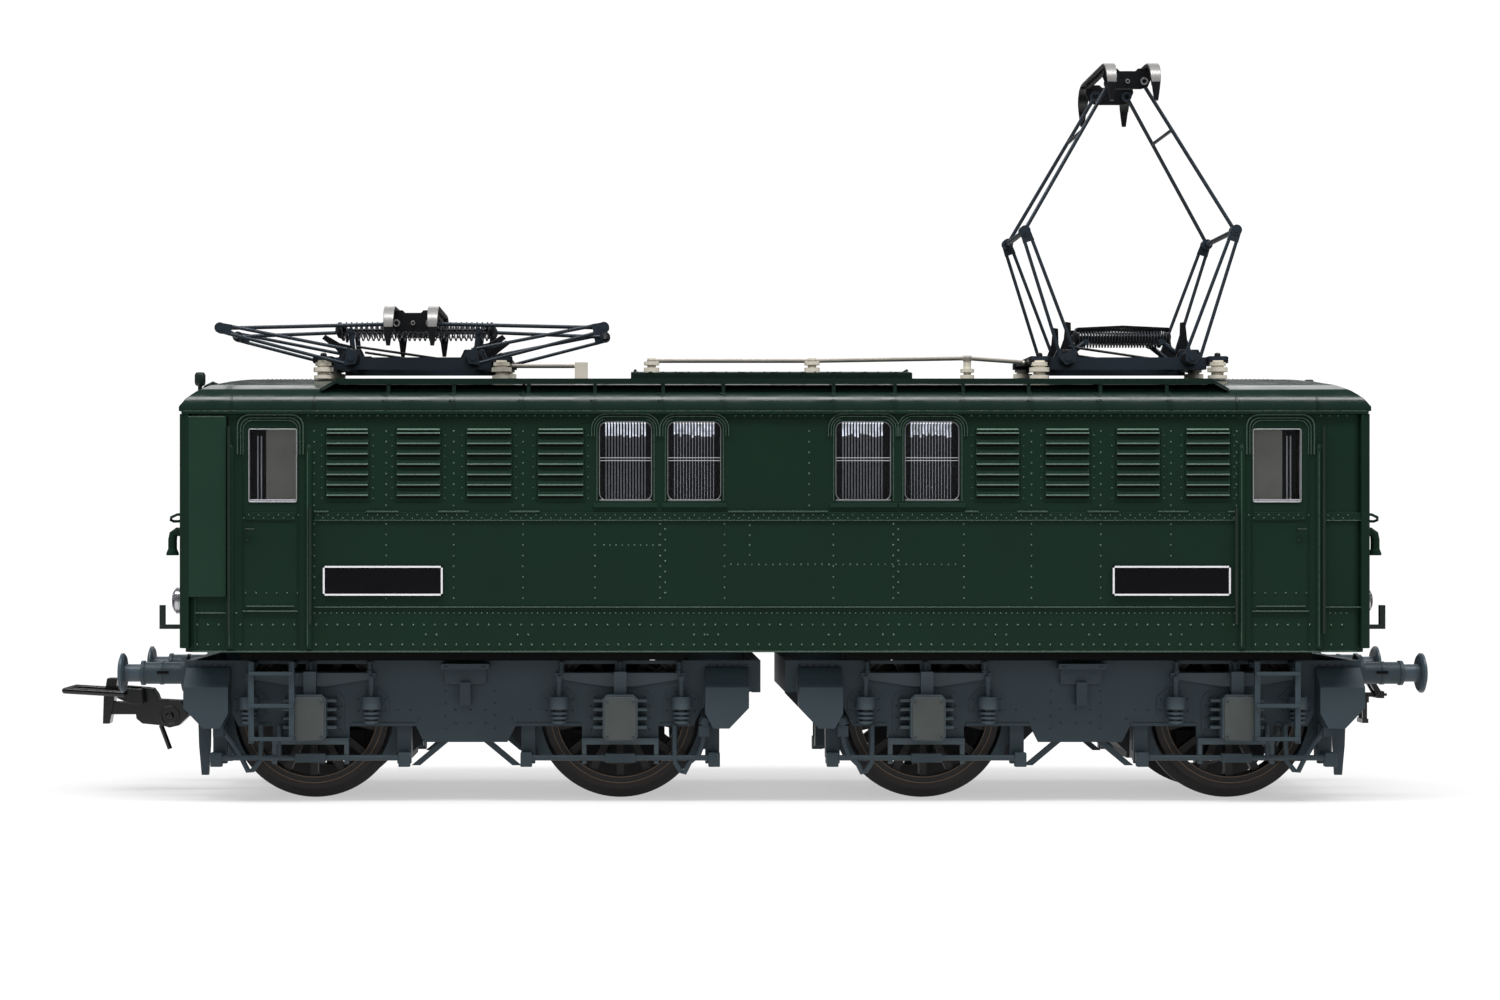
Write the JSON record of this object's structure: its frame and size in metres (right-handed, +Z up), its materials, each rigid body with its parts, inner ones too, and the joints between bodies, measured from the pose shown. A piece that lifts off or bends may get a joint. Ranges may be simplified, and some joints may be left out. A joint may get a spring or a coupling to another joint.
{
  "type": "model electric locomotive",
  "caption": "Scale model boxcab electric locomotive with a panelled body, powered swivelling bogies, spoked wheels, sprung buffers and folding diamond pantographs.",
  "frame": {"origin": "centre line, midway between the bogie pivots, at the level of the wheel flange bottoms", "axes": "+X along the locomotive towards the end with the raised pantograph, +Y across it away from the shown side, +Z up"},
  "size_m": [0.1558, 0.0354, 0.0839],
  "materials": {
    "body_green": "satin dark green",
    "roof_green": "satin dark green",
    "window_clear": "clear",
    "plate_black": "satin black with a white edge",
    "trim_dark": "satin",
    "lamp_silver": "polished",
    "cab_grey": "matt",
    "chassis_zinc": "blackened casting",
    "board_green": "printed circuit board",
    "motor_steel": "plated steel",
    "rotor_brass": "turned",
    "shaft_black": "matt",
    "gear_plastic": "moulded",
    "bogie_grey": "matt blue-grey",
    "axlebox_grey": "matt warm grey",
    "gearbox_dark": "matt",
    "wheel_dark": "burnished dark metal",
    "buffer_grey": "satin",
    "coupler_black": "matt",
    "insulator_cream": "cream",
    "panto_dark": "satin blue-black",
    "pan_silver": "bright metal"
  },
  "bodies": {
    "frame": {"body_shell": "body_green", "roof_shell": "roof_green", "roof_hatch": "roof_green", "window_glazing": "window_clear", "louvre_panels": "body_green", "nameplates": "plate_black", "handrails": "trim_dark", "headlights": "lamp_silver", "cab_interiors": "cab_grey", "chassis_frame": "chassis_zinc", "bogie_retainers": "chassis_zinc", "circuit_board": "board_green", "motor_can": "motor_steel", "roof_conductors": "insulator_cream", "pantograph_1_base": "panto_dark", "pantograph_2_base": "panto_dark", "pantograph_1_springs": "panto_dark", "pantograph_2_springs": "panto_dark"},
    "rotor": {"motor_rotor": "rotor_brass"},
    "bogie_1": {"bogie_1_gearbox": "gearbox_dark", "bogie_1_keeper": "gearbox_dark", "bogie_1_frame": "bogie_grey", "bogie_1_axleboxes": "axlebox_grey", "bogie_1_brakes": "bogie_grey"},
    "cardan_1": {"cardan_1": "shaft_black"},
    "worm_1": {"worm_1": "rotor_brass"},
    "worm_wheel_1": {"bogie_1_worm_wheel": "gear_plastic"},
    "idler_1_outer": {"bogie_1_idler_outer": "gear_plastic"},
    "idler_1_inner": {"bogie_1_idler_inner": "gear_plastic"},
    "wheelset_1_outer": {"bogie_1_wheelset_outer": "wheel_dark"},
    "wheelset_1_inner": {"bogie_1_wheelset_inner": "wheel_dark"},
    "buffer_1_a": {"bogie_1_buffer_a": "buffer_grey"},
    "buffer_1_b": {"bogie_1_buffer_b": "buffer_grey"},
    "bogie_2": {"bogie_2_gearbox": "gearbox_dark", "bogie_2_keeper": "gearbox_dark", "bogie_2_frame": "bogie_grey", "bogie_2_axleboxes": "axlebox_grey", "bogie_2_brakes": "bogie_grey"},
    "cardan_2": {"cardan_2": "shaft_black"},
    "worm_2": {"worm_2": "rotor_brass"},
    "worm_wheel_2": {"bogie_2_worm_wheel": "gear_plastic"},
    "idler_2_outer": {"bogie_2_idler_outer": "gear_plastic"},
    "idler_2_inner": {"bogie_2_idler_inner": "gear_plastic"},
    "wheelset_2_outer": {"bogie_2_wheelset_outer": "wheel_dark"},
    "wheelset_2_inner": {"bogie_2_wheelset_inner": "wheel_dark"},
    "buffer_2_a": {"bogie_2_buffer_a": "buffer_grey"},
    "buffer_2_b": {"bogie_2_buffer_b": "buffer_grey"},
    "coupler": {"coupler_shank": "coupler_black"},
    "coupler_loop": {"coupler_loop": "coupler_black"},
    "screw_link": {"screw_link": "coupler_black"},
    "pantograph_1_lower_left": {"pantograph_1_lower_left": "panto_dark"},
    "pantograph_1_lower_right": {"pantograph_1_lower_right": "panto_dark"},
    "pantograph_1_upper_left": {"pantograph_1_upper_left": "panto_dark"},
    "pantograph_1_upper_right": {"pantograph_1_upper_right": "panto_dark"},
    "pantograph_1_head": {"pantograph_1_head": "pan_silver"},
    "pantograph_2_lower_left": {"pantograph_2_lower_left": "panto_dark"},
    "pantograph_2_lower_right": {"pantograph_2_lower_right": "panto_dark"},
    "pantograph_2_upper_left": {"pantograph_2_upper_left": "panto_dark"},
    "pantograph_2_upper_right": {"pantograph_2_upper_right": "panto_dark"},
    "pantograph_2_head": {"pantograph_2_head": "pan_silver"}
  },
  "joints": [
    {"name": "rotor_spin", "type": "hinge", "parent": "frame", "child": "rotor", "pos_m": [0, 0, 0.0245], "axis": [1, 0, 0], "continuous": true},
    {"name": "bogie_1_swivel", "type": "hinge", "parent": "frame", "child": "bogie_1", "pos_m": [-0.0346, 0, 0.0298], "axis": [0, 0, 1], "range_deg": [-7, 7]},
    {"name": "cardan_1_spin", "type": "hinge", "parent": "frame", "child": "cardan_1", "pos_m": [-0.0227, 0, 0.0245], "axis": [1, 0, 0], "continuous": true},
    {"name": "worm_1_spin", "type": "hinge", "parent": "bogie_1", "child": "worm_1", "pos_m": [-0.0346, 0, 0.0245], "axis": [1, 0, 0], "continuous": true},
    {"name": "worm_wheel_1_spin", "type": "hinge", "parent": "bogie_1", "child": "worm_wheel_1", "pos_m": [-0.0346, 0, 0.0167], "axis": [0, 1, 0], "continuous": true},
    {"name": "idler_1_outer_spin", "type": "hinge", "parent": "bogie_1", "child": "idler_1_outer", "pos_m": [-0.04368, 0, 0.01085], "axis": [0, 1, 0], "continuous": true},
    {"name": "idler_1_inner_spin", "type": "hinge", "parent": "bogie_1", "child": "idler_1_inner", "pos_m": [-0.02552, 0, 0.01085], "axis": [0, 1, 0], "continuous": true},
    {"name": "wheelset_1_outer_spin", "type": "hinge", "parent": "bogie_1", "child": "wheelset_1_outer", "pos_m": [-0.052, 0, 0.0097], "axis": [0, 1, 0], "continuous": true},
    {"name": "wheelset_1_inner_spin", "type": "hinge", "parent": "bogie_1", "child": "wheelset_1_inner", "pos_m": [-0.0172, 0, 0.0097], "axis": [0, 1, 0], "continuous": true},
    {"name": "buffer_1_a_slide", "type": "slide", "parent": "bogie_1", "child": "buffer_1_a", "axis": [1, 0, 0], "range_m": [0, 0.001], "stiffness_N_per_m": 100, "springref_m": -0.0004},
    {"name": "buffer_1_b_slide", "type": "slide", "parent": "bogie_1", "child": "buffer_1_b", "axis": [1, 0, 0], "range_m": [0, 0.001], "stiffness_N_per_m": 100, "springref_m": -0.0004},
    {"name": "bogie_2_swivel", "type": "hinge", "parent": "frame", "child": "bogie_2", "pos_m": [0.0346, 0, 0.0298], "axis": [0, 0, 1], "range_deg": [-7, 7]},
    {"name": "cardan_2_spin", "type": "hinge", "parent": "frame", "child": "cardan_2", "pos_m": [0.0227, 0, 0.0245], "axis": [1, 0, 0], "continuous": true},
    {"name": "worm_2_spin", "type": "hinge", "parent": "bogie_2", "child": "worm_2", "pos_m": [0.0346, 0, 0.0245], "axis": [1, 0, 0], "continuous": true},
    {"name": "worm_wheel_2_spin", "type": "hinge", "parent": "bogie_2", "child": "worm_wheel_2", "pos_m": [0.0346, 0, 0.0167], "axis": [0, 1, 0], "continuous": true},
    {"name": "idler_2_outer_spin", "type": "hinge", "parent": "bogie_2", "child": "idler_2_outer", "pos_m": [0.04368, 0, 0.01085], "axis": [0, 1, 0], "continuous": true},
    {"name": "idler_2_inner_spin", "type": "hinge", "parent": "bogie_2", "child": "idler_2_inner", "pos_m": [0.02552, 0, 0.01085], "axis": [0, 1, 0], "continuous": true},
    {"name": "wheelset_2_outer_spin", "type": "hinge", "parent": "bogie_2", "child": "wheelset_2_outer", "pos_m": [0.052, 0, 0.0097], "axis": [0, 1, 0], "continuous": true},
    {"name": "wheelset_2_inner_spin", "type": "hinge", "parent": "bogie_2", "child": "wheelset_2_inner", "pos_m": [0.0172, 0, 0.0097], "axis": [0, 1, 0], "continuous": true},
    {"name": "buffer_2_a_slide", "type": "slide", "parent": "bogie_2", "child": "buffer_2_a", "axis": [-1, 0, 0], "range_m": [0, 0.001], "stiffness_N_per_m": 100, "springref_m": -0.0004},
    {"name": "buffer_2_b_slide", "type": "slide", "parent": "bogie_2", "child": "buffer_2_b", "axis": [-1, 0, 0], "range_m": [0, 0.001], "stiffness_N_per_m": 100, "springref_m": -0.0004},
    {"name": "coupler_swing", "type": "hinge", "parent": "bogie_1", "child": "coupler", "pos_m": [-0.0621, 0, 0.0095], "axis": [0, 0, 1], "range_deg": [-12, 12]},
    {"name": "coupler_loop_lift", "type": "hinge", "parent": "coupler", "child": "coupler_loop", "pos_m": [-0.0748, 0, 0.0115], "axis": [0, 1, 0], "range_deg": [0, 25]},
    {"name": "screw_link_swing", "type": "hinge", "parent": "bogie_2", "child": "screw_link", "pos_m": [0.0702, 0, 0.0134], "axis": [0, 1, 0], "range_deg": [-35, 8]},
    {"name": "pantograph_1_raise", "type": "hinge", "parent": "frame", "child": "pantograph_1_lower_left", "pos_m": [-0.048, 0, 0.0502], "axis": [0, 1, 0], "range_deg": [0, 58.2], "deforming": ["pantograph_1_springs"]},
    {"name": "pantograph_1_lower_right_turn", "type": "hinge", "parent": "frame", "child": "pantograph_1_lower_right", "pos_m": [-0.034, 0, 0.0502], "axis": [0, 1, 0], "range_deg": [-58.21, 0]},
    {"name": "pantograph_1_upper_left_fold", "type": "hinge", "parent": "pantograph_1_lower_left", "child": "pantograph_1_upper_left", "pos_m": [-0.06292, 0, 0.05359], "axis": [0, 1, 0], "range_deg": [-116.16, 0]},
    {"name": "pantograph_1_upper_right_fold", "type": "hinge", "parent": "pantograph_1_lower_right", "child": "pantograph_1_upper_right", "pos_m": [-0.01908, 0, 0.05359], "axis": [0, 1, 0], "range_deg": [0, 116.16]},
    {"name": "pantograph_1_head_level", "type": "hinge", "parent": "pantograph_1_upper_left", "child": "pantograph_1_head", "pos_m": [-0.0429, 0, 0.05423], "axis": [0, 1, 0], "range_deg": [0, 57.96]},
    {"name": "pantograph_2_raise", "type": "hinge", "parent": "frame", "child": "pantograph_2_lower_left", "pos_m": [0.034, 0, 0.0502], "axis": [0, 1, 0], "range_deg": [-58.2, 0], "deforming": ["pantograph_2_springs"]},
    {"name": "pantograph_2_lower_right_turn", "type": "hinge", "parent": "frame", "child": "pantograph_2_lower_right", "pos_m": [0.048, 0, 0.0502], "axis": [0, 1, 0], "range_deg": [0, 58.21]},
    {"name": "pantograph_2_upper_left_fold", "type": "hinge", "parent": "pantograph_2_lower_left", "child": "pantograph_2_upper_left", "pos_m": [0.02902, 0, 0.06467], "axis": [0, 1, 0], "range_deg": [0, 116.16]},
    {"name": "pantograph_2_upper_right_fold", "type": "hinge", "parent": "pantograph_2_lower_right", "child": "pantograph_2_upper_right", "pos_m": [0.05298, 0, 0.06467], "axis": [0, 1, 0], "range_deg": [-116.16, 0]},
    {"name": "pantograph_2_head_level", "type": "hinge", "parent": "pantograph_2_upper_left", "child": "pantograph_2_head", "pos_m": [0.0391, 0, 0.08198], "axis": [0, 1, 0], "range_deg": [-57.96, 0]}
  ],
  "couplings": [
    {"joint": "cardan_1_spin", "follows": "rotor_spin", "ratio": 1},
    {"joint": "worm_1_spin", "follows": "rotor_spin", "ratio": 1},
    {"joint": "worm_wheel_1_spin", "follows": "rotor_spin", "ratio": -0.033333},
    {"joint": "idler_1_outer_spin", "follows": "rotor_spin", "ratio": 0.041667},
    {"joint": "idler_1_inner_spin", "follows": "rotor_spin", "ratio": 0.041667},
    {"joint": "wheelset_1_outer_spin", "follows": "rotor_spin", "ratio": -0.055556},
    {"joint": "wheelset_1_inner_spin", "follows": "rotor_spin", "ratio": -0.055556},
    {"joint": "cardan_2_spin", "follows": "rotor_spin", "ratio": 1},
    {"joint": "worm_2_spin", "follows": "rotor_spin", "ratio": 1},
    {"joint": "worm_wheel_2_spin", "follows": "rotor_spin", "ratio": -0.033333},
    {"joint": "idler_2_outer_spin", "follows": "rotor_spin", "ratio": 0.041667},
    {"joint": "idler_2_inner_spin", "follows": "rotor_spin", "ratio": 0.041667},
    {"joint": "wheelset_2_outer_spin", "follows": "rotor_spin", "ratio": -0.055556},
    {"joint": "wheelset_2_inner_spin", "follows": "rotor_spin", "ratio": -0.055556},
    {"joint": "pantograph_1_lower_right_turn", "follows": "pantograph_1_raise", "ratio": -1},
    {"joint": "pantograph_1_upper_left_fold", "follows": "pantograph_1_raise", "ratio": -1.9957},
    {"joint": "pantograph_1_upper_right_fold", "follows": "pantograph_1_raise", "ratio": 1.9957},
    {"joint": "pantograph_1_head_level", "follows": "pantograph_1_raise", "ratio": 0.99573},
    {"joint": "pantograph_2_lower_right_turn", "follows": "pantograph_2_raise", "ratio": -1},
    {"joint": "pantograph_2_upper_left_fold", "follows": "pantograph_2_raise", "ratio": -1.9957},
    {"joint": "pantograph_2_upper_right_fold", "follows": "pantograph_2_raise", "ratio": 1.9957},
    {"joint": "pantograph_2_head_level", "follows": "pantograph_2_raise", "ratio": 0.99573}
  ]
}
